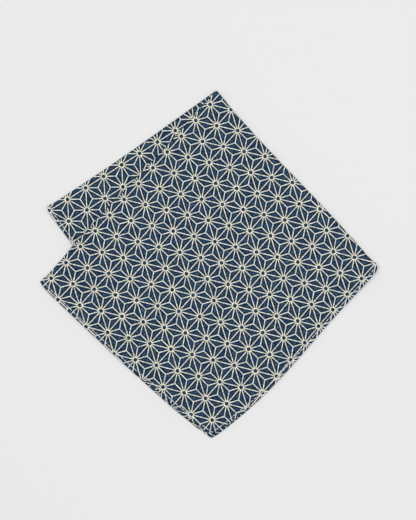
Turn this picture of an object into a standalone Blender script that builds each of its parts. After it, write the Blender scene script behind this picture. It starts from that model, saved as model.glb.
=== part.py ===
"""Pocket square of printed cotton, folded in half and then once more, lying flat.

The cloth is one sheet, 330 mm square. The first fold brings two edges together with the print
outside. The second fold runs a few degrees off square, so the lower pair of layers fans out past
the upper pair at the upper left. Four layers lie on each other: two of the lower pair, then two
of the upper pair, which overhangs the lower one along its hems and sinks to the surface there.

The sheet starts as a flat slab of columns (across the first fold) and rows (across the second).
Each of its points is then folded twice, laid out between the four corners of its pair, and let
down where nothing lies under it. Metres, +Z up, the origin under the middle of the stack.
"""

from math import cos, hypot, pi, radians, sin, sqrt

import bmesh
import bpy
from mathutils import Vector

MM = 0.001

# Cloth
SHEET = 1.0 * MM                # thickness of one layer
GAP = 0.3 * MM                  # air between layers
HEM_WIDTH = 4.0 * MM            # turned edge
HEM_EXTRA = 0.25 * MM           # what the turned edge adds to the thickness
HEM_SLOPE = 1.5 * MM            # how far the hem takes to thin out to the sheet

# Height of the upper pair's underside: the lower pair with its hems, and air
LIFT = 2 * (SHEET + HEM_EXTRA + GAP)

# Sinking of the upper pair past the lower pair's hems
HEM_CLEARANCE = 2.0 * MM
SINK_LENGTH = 14.0 * MM

# Grid of the sheet
FLAT_STEP = 9.0 * MM
BEND_STEPS = 6

# Corners of the folded outline seen from above, in mm
TOP = Vector((5.6, 121.7))
LEFT = Vector((-118.1, -16.0))
BOTTOM = Vector((3.0, -123.7))
RIGHT = Vector((120.0, -6.0))
UNDER_LEFT = Vector((-113.7, 37.3))
UNDER_BOTTOM = Vector((-18.8, -98.5))

# Each pair goes round from the corner of both folds: first fold, end hem, side hem, second fold
UPPER_OUTLINE = (TOP, LEFT, BOTTOM, RIGHT)
LOWER_OUTLINE = (TOP, UNDER_LEFT, UNDER_BOTTOM, RIGHT)

# How far each edge bows out from the straight line between its corners, in mm: flare lifts it
# right from its corners, arch is a half wave and lean a full wave
UPPER_BOWS = (
    {"flare": -2.1, "arch": 1.9, "lean": -0.6},
    {"flare": 4.2, "arch": -1.0, "lean": -0.3},
    {"flare": 3.6, "arch": 0.4, "lean": 1.3},
    {"flare": 0.7, "arch": -0.6, "lean": 0.7},
)
LOWER_BOWS = (
    {"flare": 0.3, "arch": -1.3, "lean": 0.1},
    {"flare": 3.0, "arch": -4.0, "lean": 0.0},
    {"flare": 1.0, "arch": 0.5, "lean": 0.0},
    {"flare": 0.7, "arch": -0.6, "lean": 0.7},
)

# Printed cotton as it looks from a step away, navy ground and cream lines together
CLOTH_COLOUR = (0.159, 0.188, 0.202, 1.0)
CLOTH_ROUGHNESS = 0.85


def clear_scene():
    for found in list(bpy.data.objects):
        bpy.data.objects.remove(found, do_unlink=True)


def smooth_step(value):
    value = min(max(value, 0.0), 1.0)
    return value * value * (3.0 - 2.0 * value)


def inward(start, end):
    """Unit vector to the left of the way from start to end, which is inside the outline."""
    way = (end - start).normalized()
    return Vector((-way.y, way.x))


def moved_in(before, corner, after, depth_before, depth_after):
    """The corner once the two edges that meet there are moved inwards by their depths."""
    first = inward(before, corner)
    second = inward(corner, after)
    turn = first.x * second.y - first.y * second.x
    return corner + Vector((
        (depth_before * second.y - depth_after * first.y) / turn,
        (depth_after * first.x - depth_before * second.x) / turn,
    ))


def on_edge(start, end, bow, share):
    """Point of a bowed edge, which runs on straight past its ends."""
    inside = min(max(share, 0.0), 1.0)
    half_wave = max(sin(pi * inside), 0.0)
    full_wave = sin(2.0 * pi * inside)
    out = bow["flare"] * sqrt(half_wave) + bow["arch"] * half_wave + bow["lean"] * full_wave
    return start.lerp(end, share) - inward(start, end) * (out * MM)


class Pair:
    """Two layers joined at the first fold, laid out between four corners and bowed edges.

    across runs from 0 at the first fold to 1 at the side hem, and along from 0 at the second
    fold to 1 at the end hem. Both folds lie inside the outline by the radius of their bend.
    """

    def __init__(self, outline, bows):
        fold_corner, first_end, hem_corner, side_end = [corner * MM for corner in outline]
        first_depth = GAP / 2 + SHEET
        second_depth = LIFT / 2 + first_depth
        self.start = moved_in(side_end, fold_corner, first_end, second_depth, first_depth)
        self.first = moved_in(fold_corner, first_end, hem_corner, first_depth, 0.0)
        self.far = hem_corner
        self.side = moved_in(hem_corner, side_end, fold_corner, 0.0, second_depth)
        self.bows = bows
        self.width = ((self.side - self.start).length + (self.far - self.first).length) / 2
        self.length = ((self.first - self.start).length + (self.far - self.side).length) / 2
        self.out_of_second_fold = -inward(self.side, self.start)

    def point(self, across, along):
        """Plan position, blended between the four bowed edges."""
        first_fold, end_hem, side_hem, second_fold = self.bows
        at_first_fold = on_edge(self.start, self.first, first_fold, along)
        at_side_hem = on_edge(self.far, self.side, side_hem, 1.0 - along)
        at_second_fold = on_edge(self.side, self.start, second_fold, 1.0 - across)
        at_end_hem = on_edge(self.first, self.far, end_hem, across)
        straight_second_fold = self.start.lerp(self.side, across)
        straight_end_hem = self.first.lerp(self.far, across)
        blended = at_first_fold.lerp(at_side_hem, across) + at_second_fold.lerp(at_end_hem, along)
        return blended - straight_second_fold.lerp(straight_end_hem, along)

    def beyond_hems(self, place):
        """How far a plan position lies past the two hems, 0 over the pair itself."""
        past_end = -inward(self.first, self.far).dot(place - self.far)
        past_side = -inward(self.far, self.side).dot(place - self.far)
        return hypot(max(past_end, 0.0), max(past_side, 0.0))


def flat_shares(length):
    """Stations of a flat run, from 1 at its hem to 0 at its fold."""
    plain = length - HEM_WIDTH - HEM_SLOPE
    steps = round(plain / FLAT_STEP)
    distances = [length, length - HEM_WIDTH]
    distances += [plain * (1.0 - step / steps) for step in range(steps + 1)]
    return [distance / length for distance in distances]


def bend_angles():
    """Angles inside a half turn, from the upper layer round to the lower one."""
    return [radians(90.0 - 180.0 * step / BEND_STEPS) for step in range(1, BEND_STEPS)]


def stations(upper_length, lower_length):
    """Flat run of the upper layer, bend and flat run of the lower one, as (share, angle)."""
    upper = [(share, radians(90.0)) for share in flat_shares(upper_length)]
    bend = [(0.0, angle) for angle in bend_angles()]
    lower = [(share, radians(-90.0)) for share in reversed(flat_shares(lower_length))]
    return upper + bend + lower


def hem_thickness(pair, across, along):
    """What the hems add to the sheet at a place of the flat cloth."""
    to_side = (1.0 - across) * pair.width
    to_end = (1.0 - along) * pair.length
    to_hem = min(to_side, to_end)
    return HEM_EXTRA * min(max((HEM_WIDTH + HEM_SLOPE - to_hem) / HEM_SLOPE, 0.0), 1.0)


def folded(upper, lower, column, row, on_print_side):
    """Position of one point of the sheet after both folds."""
    across, first_angle = column
    along, second_angle = row
    turned_under = 0.5 - 0.5 * sin(second_angle) if along == 0.0 else float(second_angle < 0.0)
    pair = lower if turned_under > 0.5 else upper
    thickness = SHEET + hem_thickness(pair, across, along)

    # First fold: the print side is the outside of the bend
    radius = GAP / 2 + (thickness if on_print_side else 0.0)
    height = radius * sin(first_angle)
    across -= radius * cos(first_angle) / pair.width

    # Second fold: the whole pair goes round an axis at half its lift
    pair_radius = LIFT / 2 + height
    plan = upper.point(across, along).lerp(lower.point(across, along), turned_under)
    plan += pair.out_of_second_fold * (pair_radius * cos(second_angle))
    level = LIFT / 2 + thickness + GAP / 2 + pair_radius * sin(second_angle)

    # Past the hems of the lower pair the upper one sinks to the surface
    sink = smooth_step((lower.beyond_hems(plan) - HEM_CLEARANCE) / SINK_LENGTH)
    level -= LIFT * sink * (1.0 - turned_under)
    return Vector((plan.x, plan.y, level))


def centre_on_origin(sheet):
    """Moves the sheet so that its box stands on the origin."""
    places = [vertex.co for vertex in sheet.verts]
    low = Vector([min(place[axis] for place in places) for axis in range(3)])
    high = Vector([max(place[axis] for place in places) for axis in range(3)])
    middle = (low + high) / 2
    bmesh.ops.translate(sheet, verts=sheet.verts, vec=-Vector((middle.x, middle.y, low.z)))


def fold_cloth():
    upper = Pair(UPPER_OUTLINE, UPPER_BOWS)
    lower = Pair(LOWER_OUTLINE, LOWER_BOWS)
    columns = stations(upper.width, upper.width)
    rows = stations(upper.length, lower.length)

    # A flat slab, one cell for each step of the columns and rows
    sheet = bmesh.new()
    last_column = len(columns) - 1
    last_row = len(rows) - 1
    bmesh.ops.create_grid(sheet, x_segments=last_column, y_segments=last_row, size=0.5)
    grown = bmesh.ops.extrude_face_region(sheet, geom=sheet.faces[:])
    print_side = [found for found in grown["geom"] if isinstance(found, bmesh.types.BMVert)]
    bmesh.ops.translate(sheet, verts=print_side, vec=(0.0, 0.0, 1.0))

    for vertex in sheet.verts:
        column = columns[round((0.5 - vertex.co.x) * last_column)]
        row = rows[round((vertex.co.y + 0.5) * last_row)]
        vertex.co = folded(upper, lower, column, row, vertex.co.z > 0.5)
    bmesh.ops.recalc_face_normals(sheet, faces=sheet.faces)
    centre_on_origin(sheet)
    return sheet


def printed_cotton():
    material = bpy.data.materials.new("printed cotton")
    material.use_nodes = True
    shader = material.node_tree.nodes["Principled BSDF"]
    shader.inputs["Base Color"].default_value = CLOTH_COLOUR
    shader.inputs["Roughness"].default_value = CLOTH_ROUGHNESS
    shader.inputs["Metallic"].default_value = 0.0
    return material


def add_pocket_square():
    sheet = fold_cloth()
    mesh = bpy.data.meshes.new("pocket_square")
    sheet.to_mesh(mesh)
    sheet.free()
    mesh.shade_smooth()
    mesh.set_sharp_from_angle(angle=radians(40.0))
    mesh.materials.append(printed_cotton())
    pocket_square = bpy.data.objects.new("pocket_square", mesh)
    bpy.context.collection.objects.link(pocket_square)


clear_scene()
add_pocket_square()
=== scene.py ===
"""Pocket square of printed cotton, folded twice and lying flat, with its hem stitching and a stage.

One flat sheet is folded point by point: once so that the print stays outside, and once more a few
degrees off square, so that the lower pair of layers fans out past the upper pair.
"""

from bisect import bisect_right
from collections import namedtuple
from itertools import accumulate
from math import copysign, cos, exp, hypot, pi, radians, sin, sqrt

import bmesh
import bpy
from bpy.props import FloatProperty, FloatVectorProperty, IntProperty, PointerProperty
from mathutils import Matrix, Vector


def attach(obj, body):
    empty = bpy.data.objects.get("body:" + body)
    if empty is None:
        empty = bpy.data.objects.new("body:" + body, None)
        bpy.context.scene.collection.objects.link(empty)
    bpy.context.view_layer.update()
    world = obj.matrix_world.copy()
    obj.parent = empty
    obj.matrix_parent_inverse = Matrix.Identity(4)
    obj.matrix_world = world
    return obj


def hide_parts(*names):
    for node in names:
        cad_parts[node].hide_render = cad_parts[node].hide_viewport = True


bl_info = {
    "name": "Folded Pocket Square",
    "version": (1, 0, 0),
    "blender": (4, 5, 0),
    "location": "3D View > Sidebar > Pocket Square",
    "description": "A printed cotton square folded twice, with stitched hems, on a pale floor",
    "category": "Add Mesh",
}

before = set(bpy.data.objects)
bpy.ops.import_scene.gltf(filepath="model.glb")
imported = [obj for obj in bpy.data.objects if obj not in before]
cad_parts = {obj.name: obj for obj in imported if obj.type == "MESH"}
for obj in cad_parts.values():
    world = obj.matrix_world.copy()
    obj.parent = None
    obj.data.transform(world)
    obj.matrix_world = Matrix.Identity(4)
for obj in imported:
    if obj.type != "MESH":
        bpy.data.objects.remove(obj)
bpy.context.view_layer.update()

MM = 0.001
NODE = "pocket_square"
BODY = "root"
CLOTH = "folded_cotton"
STITCHES = "hem_stitches"
CLOTH_UV = "flat cloth"

# Middle of the view, in mm from the middle of the folded cloth. All plan positions below are
# measured from it, seen from above
VIEW_MIDDLE = Vector((-0.93, 1.24))

# Corners of the folded outline, in mm
TOP = Vector((5.4, 121.6))
LEFT = Vector((-117.9, -15.5))
BOTTOM = Vector((2.6, -123.3))
RIGHT = Vector((119.6, -5.6))
UNDER_LEFT = Vector((-114.1, 37.4))
UNDER_BOTTOM = Vector((-18.8, -98.5))

# Each pair goes round from the corner of both folds: first fold, end hem, side hem, second fold
UPPER_OUTLINE = (TOP, LEFT, BOTTOM, RIGHT)
LOWER_OUTLINE = (TOP, UNDER_LEFT, UNDER_BOTTOM, RIGHT)

# How far each edge bows out from the straight line between its corners, in mm: flare lifts it
# right from its corners, arch is a half wave and lean a full wave
UPPER_BOWS = (
    {"flare": -2.1, "arch": 1.9, "lean": -0.6},
    {"flare": 4.2, "arch": -1.0, "lean": -0.3},
    {"flare": 4.1, "arch": 0.4, "lean": 1.5},
    {"flare": 0.7, "arch": -0.6, "lean": 0.7},
)
LOWER_BOWS = (
    {"flare": 0.3, "arch": -1.3, "lean": 0.1},
    {"flare": 3.0, "arch": -4.0, "lean": 0.0},
    {"flare": 1.0, "arch": 0.5, "lean": 0.0},
    {"flare": 0.7, "arch": -0.6, "lean": 0.7},
)

# How far the top layer stays back at most from the edge of the layer under it, on either side of
# the corner where the hems meet. It grows from a start over a span, both as shares of the edge
END_SLIP = {"most": 1.5 * MM, "start": 0.5, "span": 0.2}
SIDE_SLIP = {"most": 1.1 * MM, "start": 0.72, "span": 0.13}

# Soft swells of the top layer, in mm: place and heading of the ridge, its length, width and
# height. They begin over a length from the second fold
SWELLS = (
    {"x": -38.0, "y": 38.0, "heading": 48.0, "length": 95.0, "width": 26.0, "height": 0.35},
    {"x": 58.0, "y": -28.0, "heading": 40.0, "length": 80.0, "width": 24.0, "height": 0.40},
    {"x": -52.0, "y": -38.0, "heading": -42.0, "length": 70.0, "width": 20.0, "height": 0.30},
    {"x": 18.0, "y": -78.0, "heading": 8.0, "length": 70.0, "width": 22.0, "height": 0.35},
    {"x": 40.0, "y": 40.0, "heading": -48.0, "length": 90.0, "width": 22.0, "height": 0.30},
)
SWELL_START = 25 * MM

# How the upper pair climbs onto the hems of the lower one, and how far past them it stays up
CLIMB = 9 * MM
OVERHANG = 0.8 * MM

# Waves in which the upper pair's hems lift off: an even share, then two waves with their shares,
# the length in which each turns by a radian and the angle at which it starts
FLUTTER_EVEN = 0.5
FLUTTER_WAVES = (
    {"share": 0.3, "radian": 9 * MM, "start": 0.0},
    {"share": 0.2, "radian": 4.3 * MM, "start": 1.7},
)
FLUTTER_REACH = 14 * MM         # how far in from the edge they go
FLUTTER_RISE = 0.25             # share of the edge over which they rise from a fold

# Cells of a hem: round its edge, beside the seam (rows in mm from it) and down to the sheet
ROUNDING_CELLS = 4
SEAM_ROWS = (-0.9, -0.45, 0.0, 0.45, 0.9)
HEM_STEP_CELLS = 3

# Shares of the thickness: what is left at a hem's rounded edge, and what the stitches take, which
# fades out on either side of the seam
LEAST_FULLNESS = 0.1
SEAM_PULL = 0.35
SEAM_PULL_REACH = 0.5 * MM

# A stitch: how far its middle stands out, and half its height, as shares of its thickness
STITCH_RISE = 0.3
STITCH_HALF_HEIGHT = 0.38
STITCH_SEGMENTS = 8
STITCH_RINGS = 6

# The repeat as it lies on the two layers that show, in mm: one star's place and its number in the
# shared count of stars, and the ways to the next star of its row and to the next row. The cloth
# is pulled out of shape a little: each drift is a way that grows with powers of x and y, 1 at the
# drift's span, and each tug is a way that fades out from its middle over its reach
DRIFT_SPAN = 100
PRINT_ON_UPPER = {
    "star": Vector((9.50, -2.06)),
    "count": (0, 0),
    "next_star": Vector((9.98, 11.35)),
    "next_row": Vector((14.65, -3.72)),
    "drifts": (
        {"x": 2, "y": 0, "way": Vector((-0.49, 0.35))},
        {"x": 1, "y": 1, "way": Vector((0.48, 0.67))},
        {"x": 3, "y": 0, "way": Vector((1.08, -0.34))},
        {"x": 2, "y": 1, "way": Vector((-0.62, -0.31))},
        {"x": 1, "y": 2, "way": Vector((1.34, 0.04))},
    ),
    "tugs": (
        {"middle": Vector((66.0, -22.0)), "reach": 26.0, "way": Vector((-0.60, 0.71))},
        {"middle": Vector((108.0, -63.0)), "reach": 29.5, "way": Vector((-1.1, 2.5))},
        {"middle": Vector((140.0, -5.5)), "reach": 38.0, "way": Vector((-1.2, -0.7))},
    ),
}
PRINT_ON_LOWER = {
    "star": Vector((-112.08, 34.85)),
    "count": (19, -7),
    "next_star": Vector((-12.68, -8.27)),
    "next_row": Vector((-13.73, 7.44)),
    "drifts": (),
    "tugs": ({"middle": Vector((-108.0, 26.0)), "reach": 12.0, "way": Vector((-0.35, 0.60))},),
}

# Ink and dye: how the ink's edge wanders and over what length, the share of a pool where it is
# darkest, and how much less dye has gathered in a star's dot
INK_WANDER = 0.3 * MM
INK_CREEP = 1.1 * MM
POOL_CORE = 0.3
DOT_POOL_LOSS = 0.4

# Unevenness of the dyed cotton: lengths of the thick and thin places in the yarns and of the fades
# in the tint, and how far shade, tint and hue swing to either side, on the ground and the lines.
# A hue of 0.5 is the node's unchanged one
YARN_LENGTH = 1.5 * MM
YARN_DETAIL = 2.0
FADE_LENGTH = 4.0 * MM
GROUND_SWINGS = {"shade": 0.7, "tint": 0.10}
LINE_SWINGS = {"shade": 0.35, "tint": 0.45}
HUE_MIDDLE = 0.5
HUE_SWING = 0.014

# A noise keeps mostly between these values
NOISE_LOW = 0.3
NOISE_HIGH = 0.7

# Relief of the cotton, with its slubs as high as so many threads, and of the sewing thread
COTTON_RELIEF = 0.02 * MM
SLUB_HEIGHT = 2.0
PLY_LENGTH = 0.35 * MM
PLY_RELIEF = 0.03 * MM
# How far the painted shade and highlight of the plies swing the thread's colour to either side
PLY_PAINTED_SHADE = 0.1

# Stage: the camera aims at the middle of the stack, in mm, and the floor lies just under the
# cloth. The lamp's size and place are in metres
AIM_HEIGHT = 2.4
FLOOR_DROP = 0.2 * MM
LAMP_SIZE = 2.0
LAMP_PLACE = (0.1, 0.1, 1.9)

# Node types and sockets that are used many times
MATH = "ShaderNodeMath"
NOISE = "ShaderNodeTexNoise"
RANGE = "ShaderNodeMapRange"
MIX = "ShaderNodeMix"
MIX_FIRST, MIX_SECOND, MIX_RESULT = 6, 7, 2

# Where a point of the cloth lies: its share of the way from the first fold to the side hem and
# how far it has gone round that fold (0 to 1), then the same for the second fold and the end hem
Place = namedtuple("Place", "across first along second")


def linear(hex_colour):
    """The linear colour of an sRGB hex value."""
    channels = [int(hex_colour[start:start + 2], 16) / 255 for start in (1, 3, 5)]
    return [c / 12.92 if c <= 0.04045 else ((c + 0.055) / 1.055) ** 2.4 for c in channels]


def size_property(name, description, default):
    return FloatProperty(
        name=name, description=description, default=default, unit="LENGTH", precision=5,
    )


def colour_property(name, description, hex_colour):
    return FloatVectorProperty(
        name=name, description=description, default=linear(hex_colour), subtype="COLOR", size=3,
    )


class ClothSizes(bpy.types.PropertyGroup):
    side: size_property("Side", "Side of the square before it is folded", 330 * MM)
    sheet: size_property("Sheet", "Thickness of the cotton", 0.4 * MM)
    hem: size_property("Hem", "Thickness of the hem, whose edge is turned twice", 0.8 * MM)
    hem_width: size_property("Hem width", "Width of the turned edge", 4.0 * MM)
    hem_step: size_property("Hem step", "Width over which the hem thins out to the sheet", 0.6 * MM)
    seam: size_property("Seam", "Distance of the stitches from the edge", 2.3 * MM)
    pair_gap: size_property("Pair gap", "Air between the two layers of a pair", 0.25 * MM)
    fold_puff: size_property("Fold puff", "Extra air inside the first fold", 0.6 * MM)
    stack_gap: size_property("Stack gap", "Air between the two pairs", 0.3 * MM)
    turn_puff: size_property("Turn puff", "Extra air inside the second fold", 0.9 * MM)
    puff_reach: size_property("Puff reach", "How far a fold stays puffed up", 11.0 * MM)
    sink: size_property("Sink", "Length over which the upper pair sinks past a hem", 10.0 * MM)
    flutter: size_property("Flutter", "How far the upper hems lift off in waves", 0.3 * MM)
    grid_step: size_property("Grid step", "Size of a cell of the flat cloth", 2.2 * MM)
    bend_steps: IntProperty(name="Bend steps", description="Cells round a fold", default=12)


class PrintLook(bpy.types.PropertyGroup):
    star_pitch: size_property("Star pitch", "From star to star along a row", 15.1 * MM)
    row_spacing: size_property("Row spacing", "From one row of stars to the next", 13.5 * MM)
    line_width: size_property("Line width", "Width of a printed line", 0.66 * MM)
    ring_radius: size_property("Ring radius", "Outer radius of the ring in a star", 2.08 * MM)
    dot_radius: size_property("Dot radius", "Radius of the dark dot in a star", 1.32 * MM)
    bleed: size_property("Bleed", "Width over which the ink fades out", 0.22 * MM)
    pool: size_property("Pool", "How far from a line the dye has gathered", 1.4 * MM)
    thread: size_property("Thread", "Spacing of the woven threads", 0.4 * MM)
    ground: colour_property("Ground", "Navy of the ground", "#26435F")
    pooled: colour_property("Pooled dye", "Darker navy, gathered along the lines", "#132439")
    line: colour_property("Line", "Cream of the lines, a little dyed", "#DADED4")
    ring: colour_property("Ring", "Cream of the broader rings", "#DFD9C4")
    back_ground: colour_property("Back ground", "Ground, through to the wrong side", "#7C8796")
    back_pooled: colour_property("Back pooled dye", "Pooled dye, on the wrong side", "#707C8C")
    back_line: colour_property("Back line", "Lines, through to the wrong side", "#D6D0C4")
    back_ring: colour_property("Back ring", "Rings, through to the wrong side", "#D8D2C4")


class StitchSizes(bpy.types.PropertyGroup):
    length: size_property("Length", "Length of a stitch on the surface", 2.6 * MM)
    pitch: size_property("Pitch", "From one stitch to the next", 3.1 * MM)
    thickness: size_property("Thickness", "Thickness of the thread", 0.5 * MM)
    thread: colour_property("Thread", "Colour of the sewing thread", "#E2E3E8")


class StageLook(bpy.types.PropertyGroup):
    floor_size: size_property("Floor size", "Side of the floor", 4.0)
    floor: colour_property("Floor", "Colour of the floor", "#E6E6E6")
    sky: FloatProperty(
        name="Sky", description="Strength of the even light from all sides", default=0.45,
    )
    lamp: FloatProperty(name="Lamp", description="Power of the soft lamp, in watts", default=29.6)
    lens: FloatProperty(name="Lens", description="Focal length in millimetres", default=70.0)
    distance: size_property("Distance", "From the camera to the cloth", 0.7109)
    tilt: FloatProperty(
        name="Tilt", description="Lean of the camera from straight above", default=radians(5.37),
        subtype="ANGLE",
    )


def smooth_step(value):
    """From 0 to 1, flat at both ends."""
    value = min(max(value, 0.0), 1.0)
    return value * value * (3.0 - 2.0 * value)


def fading(distance, reach):
    """1 at no distance, then less and less like a bell curve."""
    return exp(-(distance / reach) ** 2)


def inward(start, end):
    """Unit vector to the left of the way from start to end, which is inside the outline."""
    way = (end - start).normalized()
    return Vector((-way.y, way.x))


def moved_in(before, corner, after, depth_before, depth_after):
    """The corner once the two edges that meet there are moved inwards by their depths."""
    first = inward(before, corner)
    second = inward(corner, after)
    turn = first.x * second.y - first.y * second.x
    return corner + Vector((
        (depth_before * second.y - depth_after * first.y) / turn,
        (depth_after * first.x - depth_before * second.x) / turn,
    ))


def on_edge(start, end, bow, share):
    """Point of a bowed edge, which runs on straight past its ends."""
    inside = min(max(share, 0.0), 1.0)
    half_wave = max(sin(pi * inside), 0.0)
    full_wave = sin(2.0 * pi * inside)
    out = bow["flare"] * sqrt(half_wave) + bow["arch"] * half_wave + bow["lean"] * full_wave
    return start.lerp(end, share) - inward(start, end) * (out * MM)


def slipped(slip, share):
    """How far the top layer stays back at a share of its edge."""
    return slip["most"] * smooth_step((share - slip["start"]) / slip["span"])


class Pair:
    """Two layers joined at the first fold, laid out between four corners and bowed edges.

    across runs from 0 at the first fold to 1 at the side hem, and along from 0 at the second
    fold to 1 at the end hem. Both folds lie inside the outline by the radius of their bend.
    """

    def __init__(self, outline, bows, first_depth, second_depth):
        fold_corner, first_end, hem_corner, side_end = [corner * MM for corner in outline]
        self.start = moved_in(side_end, fold_corner, first_end, second_depth, first_depth)
        self.first = moved_in(fold_corner, first_end, hem_corner, first_depth, 0.0)
        self.far = hem_corner
        self.side = moved_in(hem_corner, side_end, fold_corner, 0.0, second_depth)
        self.bows = bows
        self.width = ((self.side - self.start).length + (self.far - self.first).length) / 2
        self.length = ((self.first - self.start).length + (self.far - self.side).length) / 2
        self.out_of_second_fold = -inward(self.side, self.start)
        self.out_of_end_hem = -inward(self.first, self.far)
        self.out_of_side_hem = -inward(self.far, self.side)

    def point(self, across, along):
        """Plan position, blended between the four bowed edges."""
        first_fold, end_hem, side_hem, second_fold = self.bows
        at_first_fold = on_edge(self.start, self.first, first_fold, along)
        at_side_hem = on_edge(self.far, self.side, side_hem, 1.0 - along)
        at_second_fold = on_edge(self.side, self.start, second_fold, 1.0 - across)
        at_end_hem = on_edge(self.first, self.far, end_hem, across)
        straight_second_fold = self.start.lerp(self.side, across)
        straight_end_hem = self.first.lerp(self.far, across)
        blended = at_first_fold.lerp(at_side_hem, across) + at_second_fold.lerp(at_end_hem, along)
        return blended - straight_second_fold.lerp(straight_end_hem, along)

    def depths(self, plan):
        """How far a plan position lies inside the first fold, end hem, side hem and second fold."""
        corners = (self.start, self.first, self.far, self.side, self.start)
        return [inward(start, end).dot(plan - start) for start, end in zip(corners, corners[1:])]


class Repeat:
    """Finds, for a plan position on one layer, the position on the flat printed cloth."""

    def __init__(self, look, laid):
        self.star = laid["star"]
        self.stars, self.rows = laid["count"]
        self.next_star = laid["next_star"]
        self.next_row = laid["next_row"]
        self.drifts = laid["drifts"]
        self.tugs = laid["tugs"]
        self.pitch = look.star_pitch
        self.spacing = look.row_spacing

    def position(self, plan):
        laid = plan / MM
        place = laid - self.star
        x = laid.x / DRIFT_SPAN
        y = laid.y / DRIFT_SPAN
        for drift in self.drifts:
            place -= drift["way"] * (x ** drift["x"] * y ** drift["y"])
        for tug in self.tugs:
            place -= tug["way"] * fading((laid - tug["middle"]).length, tug["reach"])
        turn = self.next_star.x * self.next_row.y - self.next_star.y * self.next_row.x
        stars = (place.x * self.next_row.y - place.y * self.next_row.x) / turn + self.stars
        rows = (self.next_star.x * place.y - self.next_star.y * place.x) / turn + self.rows
        return Vector(((stars + rows / 2) * self.pitch, rows * self.spacing))


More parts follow.
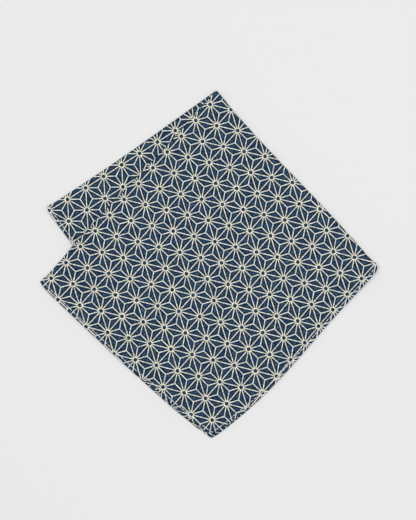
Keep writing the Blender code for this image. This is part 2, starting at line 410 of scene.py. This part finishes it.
class FoldedCloth:
    """Where each point of the flat cloth lies once it is folded."""

    def __init__(self, sizes, look):
        self.sizes = sizes
        self.fold_radius = (sizes.pair_gap + sizes.fold_puff + sizes.sheet) / 2
        self.turn_radius = sizes.sheet + (sizes.pair_gap + sizes.stack_gap + sizes.turn_puff) / 2
        first_depth = self.fold_radius + sizes.sheet / 2
        second_depth = self.turn_radius + sizes.pair_gap / 2 + sizes.sheet
        self.upper = Pair(UPPER_OUTLINE, UPPER_BOWS, first_depth, second_depth)
        self.lower = Pair(LOWER_OUTLINE, LOWER_BOWS, first_depth, second_depth)
        self.print_on_upper = Repeat(look, PRINT_ON_UPPER)
        self.print_on_lower = Repeat(look, PRINT_ON_LOWER)

    def columns(self):
        return stations(self.sizes, self.upper.width, self.upper.width)

    def rows(self):
        return stations(self.sizes, self.upper.length, self.lower.length)

    def pair(self, place):
        return self.lower if place.second > 0.5 else self.upper

    def from_edges(self, place):
        """Distances to the side hem's edge and to the end hem's edge."""
        pair = self.pair(place)
        return (1.0 - place.across) * pair.width, (1.0 - place.along) * pair.length

    def thickness(self, from_edges, step):
        """The sheet, thicker within a step of each hem, and thicker again where two cross."""
        sizes = self.sizes
        thickness = sizes.sheet
        for edge in from_edges:
            on_hem = 1.0 - smooth_step((edge - sizes.hem_width) / step)
            thickness += (sizes.hem - sizes.sheet) * on_hem
        return thickness

    def fullness(self, place):
        """Share of the thickness that rounded edges and the pull of the stitches leave."""
        sizes = self.sizes
        from_edges = self.from_edges(place)
        rounded = 1.0 - min(min(from_edges) / (sizes.hem / 2), 1.0)
        pull = max(fading(edge - sizes.seam, SEAM_PULL_REACH) for edge in from_edges)
        full = sqrt(max(1.0 - rounded * rounded, LEAST_FULLNESS ** 2))
        return full * (1.0 - SEAM_PULL * pull)

    def swell(self, plan):
        """Height of the soft ridges in the top layer."""
        height = 0.0
        for ridge in SWELLS:
            away = plan / MM - Vector((ridge["x"], ridge["y"]))
            heading = radians(ridge["heading"])
            lengthwise = away.x * cos(heading) + away.y * sin(heading)
            crosswise = away.y * cos(heading) - away.x * sin(heading)
            shape = fading(lengthwise, ridge["length"] / 2) * fading(crosswise, ridge["width"] / 2)
            height += ridge["height"] * MM * shape
        return height

    def puffed(self, gap, puff, from_fold):
        """Air between layers, with more of it near a fold."""
        return gap + puff * fading(max(from_fold, 0.0), self.sizes.puff_reach)

    def gap(self, place, plan):
        """Air between the two layers of a pair."""
        sizes = self.sizes
        air = self.puffed(sizes.pair_gap, sizes.fold_puff, place.across * self.upper.width)
        if place.second == 0.0:
            air += self.swell(plan) * smooth_step(place.along * self.upper.length / SWELL_START)
        return air

    def lift(self, plan):
        """Height of the upper pair's underside: it rests on the lower pair, then on the floor."""
        sizes = self.sizes
        from_fold, from_end, from_side, from_turn = self.lower.depths(plan)
        layer = self.thickness((from_end, from_side), CLIMB)
        lower_gap = self.puffed(sizes.pair_gap, sizes.fold_puff, from_fold)
        air = self.puffed(sizes.stack_gap, sizes.turn_puff, from_turn)
        beyond = hypot(max(-from_end, 0.0), max(-from_side, 0.0))
        resting = 1.0 - smooth_step((beyond - OVERHANG) / sizes.sink)
        return (2 * layer + lower_gap + air) * resting

    def flutter(self, place, plan):
        """Waves in which the upper pair's hems lift off."""
        to_side, to_end = self.from_edges(place)
        height = 0.0
        for edge, run in ((to_side, plan.x + plan.y), (to_end, plan.x - plan.y)):
            shape = FLUTTER_EVEN
            for wave in FLUTTER_WAVES:
                shape += wave["share"] * sin(run / wave["radian"] + wave["start"])
            height += self.sizes.flutter * shape * fading(edge, FLUTTER_REACH)
        height *= smooth_step(place.along / FLUTTER_RISE)
        return height * smooth_step(place.across / FLUTTER_RISE)

    def slip(self, place):
        """How the top layer is drawn in from the layer under it, near the corner of the hems."""
        if place.second > 0.0:
            return Vector((0.0, 0.0))
        from_end = slipped(END_SLIP, place.across) * place.along
        from_side = slipped(SIDE_SLIP, place.along) * max(place.across, 0.0)
        drawn = self.upper.out_of_end_hem * from_end + self.upper.out_of_side_hem * from_side
        return drawn * (place.first - 1.0)

    def plan(self, place):
        """Plan position, which goes over from the upper pair to the lower one in the bend."""
        if place.second == 0.0:
            return self.upper.point(place.across, place.along) + self.slip(place)
        at_lower = self.lower.point(place.across, place.along)
        if place.second == 1.0:
            return at_lower
        return self.upper.point(place.across, place.along).lerp(at_lower, place.second)

    def point(self, place, outside):
        """Position of a point of the cloth. outside is 1 on the printed side and 0 on the other."""
        pair = self.pair(place)
        plan = self.plan(place)
        thickness = self.thickness(self.from_edges(place), self.sizes.hem_step)
        gap = self.gap(place, plan)
        lift = self.lift(plan)
        wave = self.flutter(place, plan) if place.second == 0.0 else 0.0

        radius = gap / 2 + thickness * (0.5 + (outside - 0.5) * self.fullness(place))
        height = radius * cos(pi * place.first)
        step_out = radius * sin(pi * place.first)
        pair_radius = lift / 2 + height
        plan = self.plan(place._replace(across=place.across - step_out / pair.width))
        plan += pair.out_of_second_fold * (pair_radius * sin(pi * place.second)) + VIEW_MIDDLE * MM
        level = lift / 2 + thickness + gap / 2 + pair_radius * cos(pi * place.second) + wave
        return Vector((plan.x, plan.y, level))

    def unrolled(self, repeat, pair, place, round_first, round_second):
        """Position on the flat cloth, counted over the bends from a layer that shows."""
        half_pair = (self.sizes.sheet + self.sizes.pair_gap) / 2
        turn_radius = self.turn_radius + half_pair * (1.0 - 2.0 * place.first)
        across = place.across - pi * self.fold_radius * round_first / pair.width
        past_turn = pair.out_of_second_fold * (pi * turn_radius * round_second)
        return repeat.position(pair.point(across, place.along) + self.slip(place) + past_turn)

    def from_upper(self, place):
        return self.unrolled(self.print_on_upper, self.upper, place, place.first, place.second)

    def from_lower(self, place):
        return self.unrolled(
            self.print_on_lower, self.lower, place, 1.0 - place.first, 1.0 - place.second,
        )

    def flat(self, place):
        """Position on the flat cloth, in metres, which the print goes by.

        It follows the photograph on the two layers that show. Each of the two hidden layers takes
        its folded edges from its neighbours.
        """
        if place.second == 0.0 and (place.first < 1.0 or place.across == 0.0):
            return self.from_upper(place)
        if place.second == 1.0 and (place.first > 0.0 or place.across == 0.0):
            return self.from_lower(place)
        if place.along == 0.0 and place.first == 0.0:
            return self.from_upper(place)
        if place.along == 0.0 and place.first == 1.0:
            return self.from_lower(place)
        if place.along == 0.0:
            halfway = (place.first + place.second) / 2
            return self.from_upper(place).lerp(self.from_lower(place), halfway)

        along_fold, along_turn = self.from_upper, self.from_lower
        if place.second == 1.0:
            along_fold, along_turn = along_turn, along_fold
        at_fold = along_fold(place._replace(across=0.0))
        at_turn = along_turn(place._replace(along=0.0))
        at_both = place._replace(across=0.0, along=0.0)
        share = place.across / (place.across + place.along)
        return at_fold + at_turn - along_turn(at_both).lerp(along_fold(at_both), share)


def flat_shares(sizes, run):
    """Stations of a flat run, from 1 at its hem to 0 at its fold, close together on the hem."""
    turns = [pi / 2 * step / ROUNDING_CELLS for step in range(ROUNDING_CELLS + 1)]
    rounding = [sizes.hem / 2 * (1.0 - cos(turn)) for turn in turns]
    seam = [sizes.seam + offset * MM for offset in SEAM_ROWS]
    down = [sizes.hem_step * step / HEM_STEP_CELLS for step in range(HEM_STEP_CELLS + 1)]
    hem_step = [sizes.hem_width + distance for distance in down]
    plain = run - hem_step[-1]
    steps = round(plain / sizes.grid_step)
    distances = rounding + seam + hem_step
    distances += [run - plain * (1.0 - step / steps) for step in range(1, steps)]
    return [1.0 - distance / run for distance in distances] + [0.0]


def stations(sizes, upper_run, lower_run):
    """Stations from one hem over a fold to the other, as (share of the run, round the fold)."""
    upper = [(share, 0.0) for share in flat_shares(sizes, upper_run)]
    bend = [(0.0, step / sizes.bend_steps) for step in range(1, sizes.bend_steps)]
    lower = [(share, 1.0) for share in reversed(flat_shares(sizes, lower_run))]
    return upper + bend + lower


def fold_cloth(folded, sizes):
    """The whole cloth: a flat slab, one cell for each step of the columns and rows, then folded."""
    columns = folded.columns()
    rows = folded.rows()
    last_column = len(columns) - 1
    last_row = len(rows) - 1
    cloth = bmesh.new()
    bmesh.ops.create_grid(cloth, x_segments=last_column, y_segments=last_row, size=0.5)
    grown = bmesh.ops.extrude_face_region(cloth, geom=cloth.faces[:])
    print_side = [found for found in grown["geom"] if isinstance(found, bmesh.types.BMVert)]
    bmesh.ops.translate(cloth, verts=print_side, vec=(0.0, 0.0, 1.0))

    flat = {}
    shows_back = set()
    for vertex in cloth.verts:
        column = columns[round((0.5 - vertex.co.x) * last_column)]
        row = rows[round((vertex.co.y + 0.5) * last_row)]
        outside = round(vertex.co.z)
        place = Place(*column, *row)
        flat[vertex] = folded.flat(place)
        if not outside and min(folded.from_edges(place)) > sizes.hem_width:
            shows_back.add(vertex)
        vertex.co = folded.point(place, outside)

    # The turned edges show the printed side on both faces of the cloth
    uv_layer = cloth.loops.layers.uv.new(CLOTH_UV)
    for face in cloth.faces:
        face.material_index = int(shows_back.issuperset(face.verts))
        for loop in face.loops:
            loop[uv_layer].uv = flat[loop.vert]
    bmesh.ops.recalc_face_normals(cloth, faces=cloth.faces)
    return cloth


def seams(folded, sizes):
    """The four seams, each as places along one edge of the cloth that goes over a fold."""
    across = 1.0 - sizes.seam / folded.upper.width
    found = [[Place(across, first, *row) for row in folded.rows()] for first in (0.0, 1.0)]
    for second, pair in ((0.0, folded.upper), (1.0, folded.lower)):
        along = 1.0 - sizes.seam / pair.length
        found.append([Place(*column, along, second) for column in folded.columns()])
    return found


def on_line(points, distances, wanted):
    """Point of a line at a distance from its start."""
    after = min(bisect_right(distances, wanted), len(points) - 1)
    step = distances[after] - distances[after - 1]
    return points[after - 1].lerp(points[after], (wanted - distances[after - 1]) / step)


def stitch_place(start, end, through, stitch):
    """The matrix that lays a ball of radius 1 on the cloth as a flat stitch, from start to end.

    through is the place under its middle on the other face of the cloth.
    """
    way = (end - start).normalized()
    centre = (start + end) / 2
    out = (centre - through).normalized()
    out = (out - way * out.dot(way)).normalized()
    centre += out * (STITCH_RISE * stitch.thickness)
    half_length = 0.5 * stitch.length / stitch.thickness
    half = Vector((0.5, STITCH_HALF_HEIGHT, half_length)) * stitch.thickness
    turned = Matrix((out.cross(way), out, way)).transposed().to_4x4()
    return Matrix.Translation(centre) @ turned @ Matrix.Diagonal(half).to_4x4()


def add_stitch(sewn, single, place):
    """Adds one stitch, a ball with blunt ends.

    It is made apart and then added, because an operator slows down with the size of its mesh.
    """
    made = bmesh.new()
    bmesh.ops.create_uvsphere(
        made, u_segments=STITCH_SEGMENTS, v_segments=STITCH_RINGS, radius=1.0,
    )
    for vertex in made.verts:
        vertex.co.z = copysign(sqrt(abs(vertex.co.z)), vertex.co.z)
    made.transform(place)
    made.to_mesh(single)
    made.free()
    sewn.from_mesh(single)


def sew(folded, sizes, stitch):
    """A row of stitches on both faces of each hem."""
    sewn = bmesh.new()
    single = bpy.data.meshes.new("single stitch")
    for seam in seams(folded, sizes):
        faces = [[folded.point(place, outside) for place in seam] for outside in (0, 1)]
        for surface, other in (faces, reversed(faces)):
            steps = [(end - start).length for start, end in zip(surface, surface[1:])]
            distances = [0.0, *accumulate(steps)]
            count = round((distances[-1] - 2 * sizes.seam) / stitch.pitch)
            for number in range(count):
                middle = sizes.seam + (number + 0.5) * stitch.pitch
                start = on_line(surface, distances, middle - stitch.length / 2)
                end = on_line(surface, distances, middle + stitch.length / 2)
                through = on_line(other, distances, middle)
                add_stitch(sewn, single, stitch_place(start, end, through, stitch))
    bpy.data.meshes.remove(single)
    bmesh.ops.recalc_face_normals(sewn, faces=sewn.faces)
    return sewn


def new_material(name, settings):
    """Makes a material and sets its shader's own sockets. Returns it with its tree and shader."""
    material = bpy.data.materials.new(name)
    material.use_nodes = True
    shader = material.node_tree.nodes["Principled BSDF"]
    for socket, value in settings.items():
        shader.inputs[socket].default_value = value
    return material, material.node_tree, shader


def add_node(tree, kind, feeds=None, **settings):
    """Adds a node, sets it, and feeds its sockets with values or with other nodes' outputs."""
    made = tree.nodes.new(kind)
    for name, value in settings.items():
        setattr(made, name, value)
    for socket, feed in (feeds or {}).items():
        if isinstance(feed, bpy.types.Node):
            feed = feed.outputs[0]
        if isinstance(feed, bpy.types.NodeSocket):
            tree.links.new(feed, made.inputs[socket])
        else:
            made.inputs[socket].default_value = feed
    return made


def swing(tree, noise, middle, spread):
    """A number that wanders with a noise, by a spread to either side of its middle."""
    return add_node(tree, RANGE, {
        "Value": noise, "From Min": NOISE_LOW, "From Max": NOISE_HIGH,
        "To Min": middle - spread, "To Max": middle + spread,
    })


def star_print(tree, look, place):
    """The hemp-leaf star repeat, as three masks: what is printed, its rings, the ground beside it.

    Stars stand on a grid of triangles. Lines join the stars, and three more run from the middle
    of each triangle to its corners. A point's place in its triangle is told by three shares, one
    for each corner, that add up to 1.
    """
    split = add_node(tree, "ShaderNodeSeparateXYZ", {0: place})
    row = add_node(tree, MATH, {0: split.outputs["Y"], 1: look.row_spacing}, operation="DIVIDE")
    along = add_node(tree, MATH, {0: split.outputs["X"], 1: look.star_pitch}, operation="DIVIDE")
    star = add_node(tree, MATH, {0: row, 1: -0.5, 2: along}, operation="MULTIPLY_ADD")
    star_share = add_node(tree, MATH, {0: star}, operation="FRACT")
    row_share = add_node(tree, MATH, {0: row}, operation="FRACT")
    both = add_node(tree, MATH, {0: star_share, 1: row_share}, operation="ADD")
    far_half = add_node(tree, MATH, {0: both, 1: 1.0}, operation="GREATER_THAN")
    shares = []
    for share, corner in ((both, 1.0), (star_share, far_half), (row_share, far_half)):
        signed = add_node(tree, MATH, {0: share, 1: corner}, operation="SUBTRACT")
        shares.append(add_node(tree, MATH, {0: signed}, operation="ABSOLUTE"))

    # The lowest, the highest and the middle one of the three shares
    low = add_node(tree, MATH, {0: shares[0], 1: shares[1]}, operation="MINIMUM")
    low = add_node(tree, MATH, {0: low, 1: shares[2]}, operation="MINIMUM")
    high = add_node(tree, MATH, {0: shares[0], 1: shares[1]}, operation="MAXIMUM")
    high = add_node(tree, MATH, {0: high, 1: shares[2]}, operation="MAXIMUM")
    rest = add_node(tree, MATH, {0: 1.0, 1: high}, operation="SUBTRACT")
    mid = add_node(tree, MATH, {0: rest, 1: low}, operation="SUBTRACT")

    # Distances in metres to the nearest line and to the nearest star
    to_side = add_node(tree, MATH, {0: low, 1: look.row_spacing}, operation="MULTIPLY")
    uneven = add_node(tree, MATH, {0: mid, 1: low}, operation="SUBTRACT")
    to_spoke = add_node(tree, MATH, {0: uneven, 1: look.star_pitch / 2}, operation="MULTIPLY")
    to_line = add_node(tree, MATH, {0: to_side, 1: to_spoke}, operation="MINIMUM")
    low_squared = add_node(tree, MATH, {0: low, 1: low}, operation="MULTIPLY")
    squared = add_node(tree, MATH, {0: rest, 1: mid, 2: low_squared}, operation="MULTIPLY_ADD")
    root = add_node(tree, MATH, {0: squared}, operation="SQRT")
    to_star = add_node(tree, MATH, {0: root, 1: look.star_pitch}, operation="MULTIPLY")

    # Ink creeps along the threads, so its edges wander a little
    creep = add_node(tree, NOISE, {"Vector": place, "Scale": 1 / INK_CREEP}, noise_dimensions="2D")
    wander = add_node(tree, MATH, {0: creep, 1: -0.5}, operation="ADD")
    half_line = look.line_width / 2
    masks = []
    for distance, edge in (
        (to_line, half_line), (to_star, look.ring_radius), (to_star, look.dot_radius),
    ):
        shifted = add_node(tree, MATH, {
            0: wander, 1: INK_WANDER, 2: distance,
        }, operation="MULTIPLY_ADD")
        masks.append(add_node(tree, RANGE, {
            "Value": shifted, "From Min": edge + look.bleed / 2, "From Max": edge - look.bleed / 2,
        }))
    line, ring, dot = masks
    cream = add_node(tree, MATH, {0: line, 1: ring}, operation="MAXIMUM")
    printed = add_node(tree, MATH, {0: cream, 1: dot}, operation="SUBTRACT", use_clamp=True)

    # Dye gathers beside the lines, and less of it in a star's dot
    near = add_node(tree, RANGE, {
        "Value": to_line,
        "From Min": half_line + look.pool, "From Max": half_line + look.pool * POOL_CORE,
    }, interpolation_type="SMOOTHSTEP")
    pooled = add_node(tree, MATH, {
        0: dot, 1: -DOT_POOL_LOSS, 2: near,
    }, operation="MULTIPLY_ADD", use_clamp=True)
    return printed, ring, pooled


def weave(tree, look, place):
    """Height of a plain weave: threads of both ways pass over each other in turn."""
    turns = pi / look.thread
    scaled = add_node(
        tree, "ShaderNodeVectorMath", {0: place, 1: (turns, turns, 0.0)}, operation="MULTIPLY",
    )
    split = add_node(tree, "ShaderNodeSeparateXYZ", {0: scaled})
    warp = add_node(tree, MATH, {0: split.outputs["X"]}, operation="SINE")
    weft = add_node(tree, MATH, {0: split.outputs["Y"]}, operation="SINE")
    return add_node(tree, MATH, {0: warp, 1: weft}, operation="MULTIPLY")


def cotton(name, look, ground, pooled, line, ring):
    """Plain-woven cotton, printed: matt, a little hairy, and unevenly dyed from yarn to yarn."""
    material, tree, shader = new_material(name, {
        "Roughness": 0.85, "Specular IOR Level": 0.15, "Sheen Weight": 0.05, "Sheen Roughness": 0.5,
    })
    place = add_node(tree, "ShaderNodeUVMap", uv_map=CLOTH_UV)

    # Thick and thin yarns take more and less of the dye, which shows most on the ground, and its
    # tint fades a little over some millimetres
    yarns = add_node(tree, NOISE, {
        "Vector": place, "Scale": 1 / YARN_LENGTH, "Detail": YARN_DETAIL,
    }, noise_dimensions="2D")
    fades = add_node(tree, NOISE, {
        "Vector": place, "Scale": 1 / FADE_LENGTH,
    }, noise_dimensions="2D")
    printed, on_ring, beside = star_print(tree, look, place)
    shaded = []
    for share, first, second, swings in (
        (beside, ground, pooled, GROUND_SWINGS), (on_ring, line, ring, LINE_SWINGS),
    ):
        mixed = add_node(tree, MIX, {
            0: share, MIX_FIRST: (*first, 1.0), MIX_SECOND: (*second, 1.0),
        }, data_type="RGBA")
        shaded.append(add_node(tree, "ShaderNodeHueSaturation", {
            "Color": mixed.outputs[MIX_RESULT],
            "Value": swing(tree, yarns, 1.0, swings["shade"]),
            "Saturation": swing(tree, fades, 1.0, swings["tint"]),
            "Hue": swing(tree, fades, HUE_MIDDLE, HUE_SWING),
        }))
    colour = add_node(tree, MIX, {
        0: printed, MIX_FIRST: shaded[0], MIX_SECOND: shaded[1],
    }, data_type="RGBA")
    tree.links.new(colour.outputs[MIX_RESULT], shader.inputs["Base Color"])

    # The threads are finer than the picture shows, so the longer slubs of the yarns join them
    slubs = add_node(tree, MATH, {
        0: yarns, 1: SLUB_HEIGHT, 2: weave(tree, look, place),
    }, operation="MULTIPLY_ADD")
    bumps = add_node(tree, "ShaderNodeBump", {"Height": slubs, "Distance": COTTON_RELIEF})
    tree.links.new(bumps.outputs[0], shader.inputs["Normal"])
    return material


def sewing_thread(stitch):
    """Spun sewing thread: pale and soft, with painted shade and highlight for the turns of its
    plies, drawn as fine light and dark by the noise that also gives their relief.
    """
    material, tree, shader = new_material("sewing thread", {
        "Roughness": 0.7, "Sheen Weight": 0.1,
    })
    place = add_node(tree, "ShaderNodeTexCoord")
    plies = add_node(tree, NOISE, {"Vector": place.outputs["Object"], "Scale": 1 / PLY_LENGTH})
    # Painted shade and highlight: the noise of the plies makes the thread's colour lighter and
    # darker
    dyed = add_node(tree, "ShaderNodeHueSaturation", {
        "Color": (*stitch.thread, 1.0), "Value": swing(tree, plies, 1.0, PLY_PAINTED_SHADE),
    })
    bumps = add_node(tree, "ShaderNodeBump", {"Height": plies, "Distance": PLY_RELIEF})
    tree.links.new(dyed.outputs[0], shader.inputs["Base Color"])
    tree.links.new(bumps.outputs[0], shader.inputs["Normal"])
    return material


def painted_board(look):
    """Matt painted board: even, with no gloss that could show a lamp."""
    return new_material("painted board", {
        "Base Color": (*look.floor, 1.0), "Roughness": 0.95, "Specular IOR Level": 0.1,
    })[0]


def link_object(name, data):
    made = bpy.data.objects.new(name, data)
    bpy.context.collection.objects.link(made)
    return made


def add_mesh(name, shape, materials):
    """Makes an object of a bmesh, with its place in its mesh."""
    mesh = bpy.data.meshes.new(name)
    shape.to_mesh(mesh)
    shape.free()
    for material in materials:
        mesh.materials.append(material)
    mesh.shade_smooth()
    return link_object(name, mesh)


class AddCloth(bpy.types.Operator):
    """Adds the printed cotton square, folded twice and laid on the floor"""

    bl_idname = "pocket_square.add_cloth"
    bl_label = "Add Folded Cloth"

    def execute(self, context):
        sizes = context.scene.cloth_sizes
        look = context.scene.print_look
        materials = (
            cotton("printed cotton", look, look.ground, look.pooled, look.line, look.ring),
            cotton(
                "wrong side of printed cotton", look, look.back_ground, look.back_pooled,
                look.back_line, look.back_ring,
            ),
        )
        shape = fold_cloth(FoldedCloth(sizes, look), sizes)
        cloth = add_mesh(CLOTH, shape, materials)
        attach(cloth, BODY)
        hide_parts(NODE)
        return {"FINISHED"}


class AddStitches(bpy.types.Operator):
    """Adds the stitches along the four hems, once the folded cloth is there"""

    bl_idname = "pocket_square.add_stitches"
    bl_label = "Add Hem Stitches"

    def execute(self, context):
        cloth = bpy.data.objects.get(CLOTH)
        if cloth is None:
            raise RuntimeError("the folded cloth comes before its stitches")
        sizes = context.scene.cloth_sizes
        stitch = context.scene.stitch_sizes
        shape = sew(FoldedCloth(sizes, context.scene.print_look), sizes, stitch)
        stitches = add_mesh(STITCHES, shape, [sewing_thread(stitch)])
        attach(stitches, BODY)
        return {"FINISHED"}


class SetStage(bpy.types.Operator):
    """Adds the pale floor, the soft light and the camera above the cloth"""

    bl_idname = "pocket_square.set_stage"
    bl_label = "Set the Stage"

    def execute(self, context):
        look = context.scene.stage_look
        aim = Vector((VIEW_MIDDLE.x, VIEW_MIDDLE.y, AIM_HEIGHT)) * MM

        ground = bmesh.new()
        bmesh.ops.create_grid(ground, x_segments=1, y_segments=1, size=look.floor_size / 2)
        bmesh.ops.translate(ground, verts=ground.verts, vec=(0.0, 0.0, -FLOOR_DROP))
        add_mesh("floor", ground, [painted_board(look)])

        world = bpy.data.worlds.new("even light")
        world.use_nodes = True
        background = world.node_tree.nodes["Background"]
        background.inputs["Color"].default_value = (1.0, 1.0, 1.0, 1.0)
        background.inputs["Strength"].default_value = look.sky
        context.scene.world = world

        lamp = bpy.data.lights.new("soft lamp", "AREA")
        lamp.size = LAMP_SIZE
        lamp.energy = look.lamp
        hung = link_object("soft lamp", lamp)
        hung.location = LAMP_PLACE
        hung.rotation_euler = (aim - hung.location).to_track_quat("-Z", "Y").to_euler()

        camera = bpy.data.cameras.new("view from above")
        camera.lens = look.lens
        placed = link_object("view from above", camera)
        placed.location = aim + Vector((0.0, -sin(look.tilt), cos(look.tilt))) * look.distance
        placed.rotation_euler = (look.tilt, 0.0, 0.0)
        context.scene.camera = placed
        context.scene.view_settings.view_transform = "Standard"
        return {"FINISHED"}


class PocketSquarePanel(bpy.types.Panel):
    """Lists the pieces, their sizes and their looks"""

    bl_label = "Pocket Square"
    bl_idname = "VIEW3D_PT_pocket_square"
    bl_space_type = "VIEW_3D"
    bl_region_type = "UI"
    bl_category = "Pocket Square"

    def draw(self, context):
        for operator, groups in LISTED:
            box = self.layout.box()
            for name in groups:
                settings = getattr(context.scene, name)
                for setting in settings.__annotations__:
                    box.prop(settings, setting)
            box.operator(operator.bl_idname)


# Each operator with the settings that it is the first to read
LISTED = (
    (AddCloth, ("cloth_sizes", "print_look")),
    (AddStitches, ("stitch_sizes",)),
    (SetStage, ("stage_look",)),
)
SETTINGS = {
    "cloth_sizes": ClothSizes,
    "print_look": PrintLook,
    "stitch_sizes": StitchSizes,
    "stage_look": StageLook,
}
CLASSES = (*SETTINGS.values(), AddCloth, AddStitches, SetStage, PocketSquarePanel)


def register():
    for found in CLASSES:
        bpy.utils.register_class(found)
    for name, group in SETTINGS.items():
        setattr(bpy.types.Scene, name, PointerProperty(type=group))


def unregister():
    for name in SETTINGS:
        delattr(bpy.types.Scene, name)
    for found in reversed(CLASSES):
        bpy.utils.unregister_class(found)


def main():
    register()
    bpy.ops.pocket_square.add_cloth()
    bpy.ops.pocket_square.add_stitches()
    bpy.ops.pocket_square.set_stage()


if __name__ == "__main__":
    main()
